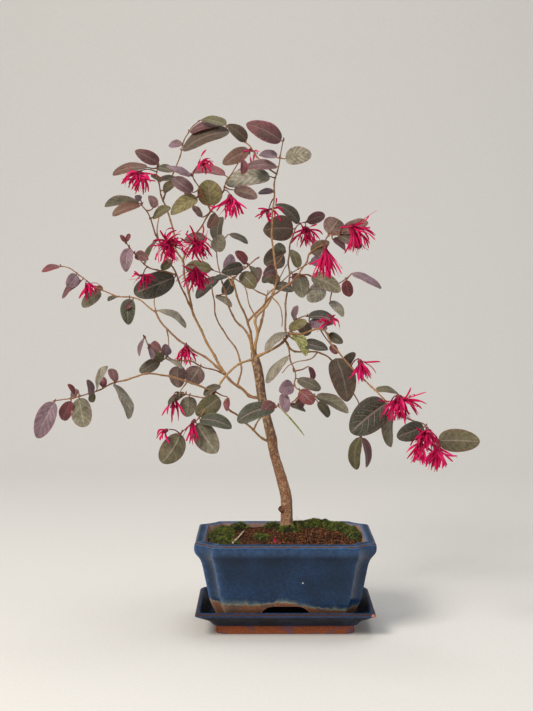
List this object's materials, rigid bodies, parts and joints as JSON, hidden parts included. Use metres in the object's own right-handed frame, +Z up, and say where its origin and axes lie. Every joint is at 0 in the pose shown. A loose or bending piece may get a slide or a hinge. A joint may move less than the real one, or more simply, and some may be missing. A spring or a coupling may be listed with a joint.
{
  "type": "chinese fringe flower bonsai",
  "caption": "Chinese fringe flower grown as a slender bonsai with crimson strap flowers, rooted in a glazed rectangular pot that stands on its glazed saucer.",
  "frame": {"origin": "centre of the saucer's foot, on the surface it stands on", "axes": "+X to the right along the pot's long side, +Y to the back, +Z up; the front of the tree faces -Y"},
  "size_m": [0.3746, 0.2656, 0.4519],
  "materials": {
    "saucer_glaze": "dark blue-black gloss glaze over terracotta, foot left unglazed",
    "pot_glaze": "mottled cobalt gloss glaze, foot left unglazed brown",
    "drain_mesh": "matte black",
    "soil": "rough reddish-brown fired clay granules",
    "moss": "soft yellow-green living moss",
    "twig_bark": "thin tan bark",
    "trunk_bark": "grey-tan bark with dark specks",
    "leaf": "leathery living leaf, maroon to dark green above, silvery below",
    "petal": "soft crimson living petal"
  },
  "bodies": {
    "root": {"saucer": "saucer_glaze", "pot": "pot_glaze", "drain_screen_left": "drain_mesh", "drain_screen_right": "drain_mesh", "soil": "soil", "moss_left": "moss", "moss_back_right": "moss", "moss_by_trunk": "moss", "fallen_twig": "twig_bark", "trunk": "trunk_bark", "limb_left": "twig_bark", "limb_arch": "twig_bark", "limb_upper_left": "twig_bark", "limb_right": "twig_bark", "limb_right_long": "twig_bark", "limb_right_lower": "twig_bark", "limb_low_left": "twig_bark", "limb_back": "twig_bark", "stem_left_tall": "twig_bark", "stem_left_parallel": "twig_bark", "stem_left_branch": "twig_bark", "stem_centre_left": "twig_bark", "stem_centre_fork": "twig_bark", "stem_centre_tall": "twig_bark", "stem_right_upper": "twig_bark", "shoot_top_left": "leaf", "shoot_left_shoulder": "leaf", "shoot_inner_top": "leaf", "shoot_top_right": "leaf", "shoot_left_wing": "leaf", "shoot_left_curl": "leaf", "shoot_upper_left": "leaf", "shoot_arch_tip": "leaf", "shoot_left_inner": "leaf", "shoot_low_left": "leaf", "shoot_centre_left": "leaf", "shoot_centre_fork": "leaf", "shoot_centre_right": "leaf", "shoot_right_inner": "leaf", "shoot_right_crest": "leaf", "shoot_right_middle": "leaf", "shoot_right_cluster": "leaf", "shoot_right_hanging": "leaf", "shoot_right_lower": "leaf", "shoot_right_tip": "leaf", "shoot_low_right": "leaf", "shoot_back_right": "leaf", "shoot_back_left": "leaf", "flower_crest_left": "petal", "flower_top_centre": "petal", "flower_left_shoulder": "petal", "flower_left_middle": "petal", "flower_left_inner": "petal", "flower_far_left": "petal", "flower_left_low": "petal", "flower_right_crest": "petal", "flower_right_middle": "petal", "flower_right_hanging": "petal", "flower_right_large": "petal", "flower_right_tip": "petal"}
  },
  "joints": []
}
